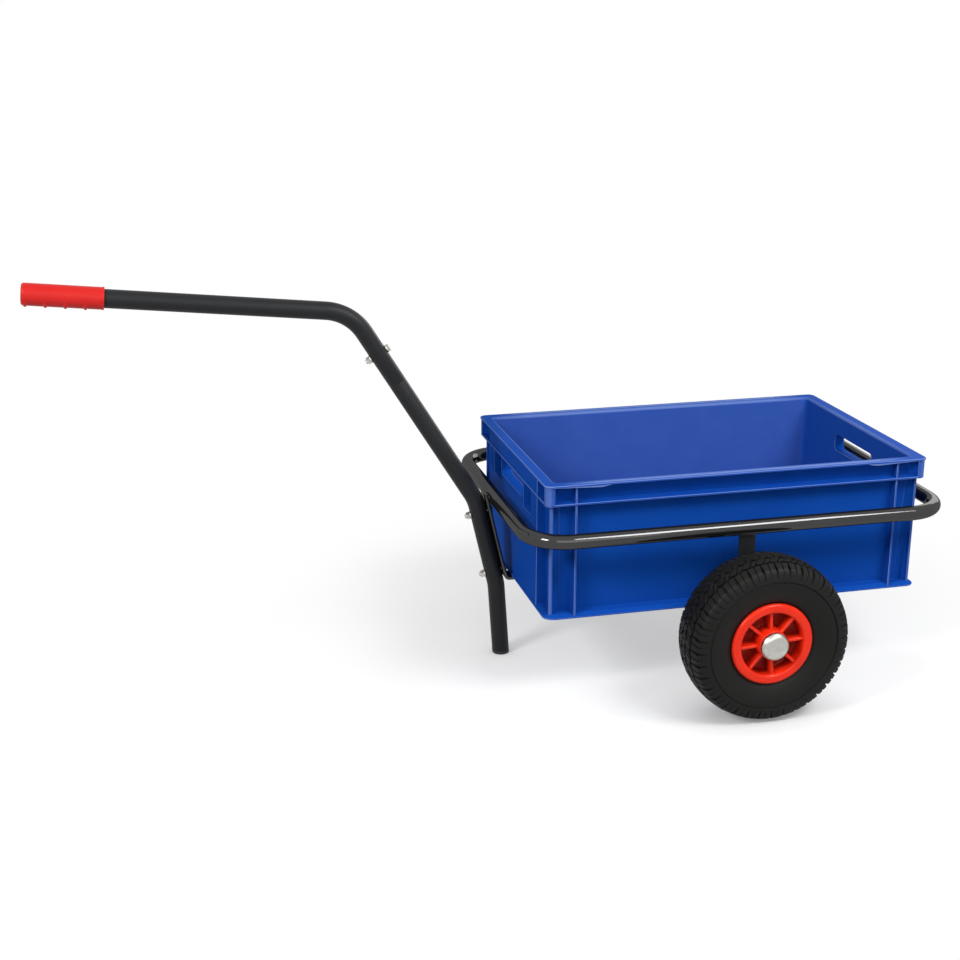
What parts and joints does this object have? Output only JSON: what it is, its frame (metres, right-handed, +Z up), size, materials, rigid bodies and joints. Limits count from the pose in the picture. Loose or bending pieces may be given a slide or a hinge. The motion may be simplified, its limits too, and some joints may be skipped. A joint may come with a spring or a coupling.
{
  "type": "hand cart",
  "caption": "Two-wheeled hand cart: an open plastic stacking crate in a tubular hoop over an axle with air tyres, pulled by a bent tubular drawbar that is also its parking leg.",
  "frame": {"origin": "on the ground, under the middle of the cart's overall length and width", "axes": "+X along the cart from the grip towards the crate's rear end, +Y across it to the right wheel, +Z up"},
  "size_m": [1.3374, 0.7016, 0.6259],
  "materials": {
    "crate_plastic": "semi-gloss moulded",
    "frame_paint": "glossy powder coat",
    "grip_vinyl": "soft satin",
    "plug_plastic": "matte",
    "rim_plastic": "satin moulded",
    "tyre_rubber": "matte",
    "tube_rubber": "matte",
    "zinc_steel": "zinc plated",
    "bearing_steel": "ground",
    "cage_plastic": "natural"
  },
  "bodies": {
    "cart": {"hoop_tube": "frame_paint", "left_hanger": "frame_paint", "right_hanger": "frame_paint", "front_strap": "frame_paint", "rear_strap": "frame_paint", "axle": "frame_paint", "drawbar_lower_tube": "frame_paint", "drawbar_upper_tube": "frame_paint", "drawbar_spigot": "frame_paint", "foot_plug": "plug_plastic", "handle_grip": "grip_vinyl", "splice_bolt": "zinc_steel", "splice_nut": "zinc_steel", "splice_washers": "zinc_steel", "clamp_bolts": "zinc_steel", "clamp_nuts": "zinc_steel", "clamp_washers": "zinc_steel", "left_inner_washer": "zinc_steel", "left_outer_washer": "zinc_steel", "left_axle_cap": "zinc_steel", "right_inner_washer": "zinc_steel", "right_outer_washer": "zinc_steel", "right_axle_cap": "zinc_steel"},
    "crate_box": {"crate": "crate_plastic"},
    "left_wheel": {"left_tyre": "tyre_rubber", "left_inner_tube": "tube_rubber", "left_valve": "tube_rubber", "left_rim_outer_half": "rim_plastic", "left_rim_inner_half": "rim_plastic", "left_rim_screws": "zinc_steel", "left_bearing_rollers": "bearing_steel", "left_bearing_cage": "cage_plastic"},
    "right_wheel": {"right_tyre": "tyre_rubber", "right_inner_tube": "tube_rubber", "right_valve": "tube_rubber", "right_rim_outer_half": "rim_plastic", "right_rim_inner_half": "rim_plastic", "right_rim_screws": "zinc_steel", "right_bearing_rollers": "bearing_steel", "right_bearing_cage": "cage_plastic"}
  },
  "joints": [
    {"name": "left_wheel_spin", "type": "hinge", "parent": "cart", "child": "left_wheel", "pos_m": [0.33273, -0.3, 0.1225], "axis": [0, 1, 0], "continuous": true},
    {"name": "right_wheel_spin", "type": "hinge", "parent": "cart", "child": "right_wheel", "pos_m": [0.33273, 0.3, 0.1225], "axis": [0, 1, 0], "continuous": true},
    {"name": "crate_lift", "type": "slide", "parent": "cart", "child": "crate_box", "axis": [0, 0, 1], "range_m": [0, 0.15]}
  ]
}
